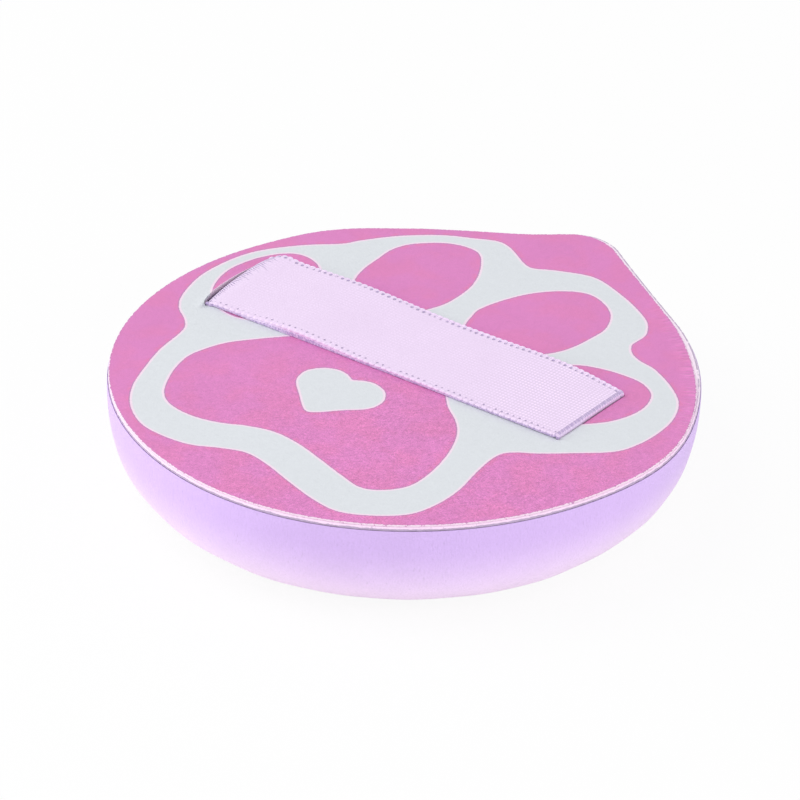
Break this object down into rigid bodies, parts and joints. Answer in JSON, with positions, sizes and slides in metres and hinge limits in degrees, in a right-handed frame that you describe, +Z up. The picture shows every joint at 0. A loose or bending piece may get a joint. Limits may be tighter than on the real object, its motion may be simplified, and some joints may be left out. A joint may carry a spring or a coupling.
{
  "type": "makeup puff",
  "caption": "Drop-shaped soft makeup puff: a pressed foam bowl under a flat printed face, with a ribbon finger strap threaded through the face.",
  "frame": {"origin": "on the table, under the middle of the puff's outline", "axes": "+Z up out of the printed face, +Y towards the tip of the drop, +X along the strap"},
  "size_m": [0.075, 0.081, 0.0167],
  "materials": {
    "printed_cloth": "matte",
    "backing_sheet": "matte",
    "adhesive_film": "matte",
    "soft_cover": "matte",
    "foam": "matte",
    "satin_ribbon": "satin",
    "bonding_tab": "matte"
  },
  "bodies": {
    "puff": {"printed_face": "printed_cloth", "face_backing": "backing_sheet", "adhesive_film": "adhesive_film", "soft_cover": "soft_cover", "foam_core": "foam", "strap_end_left": "satin_ribbon", "strap_end_right": "satin_ribbon", "tail_tab_left": "bonding_tab", "tail_tab_right": "bonding_tab"},
    "strap": {"strap_span": "satin_ribbon"}
  },
  "joints": [
    {"name": "strap_lift", "type": "slide", "parent": "puff", "child": "strap", "axis": [0, 0, 1], "range_m": [0, 0.008]}
  ]
}
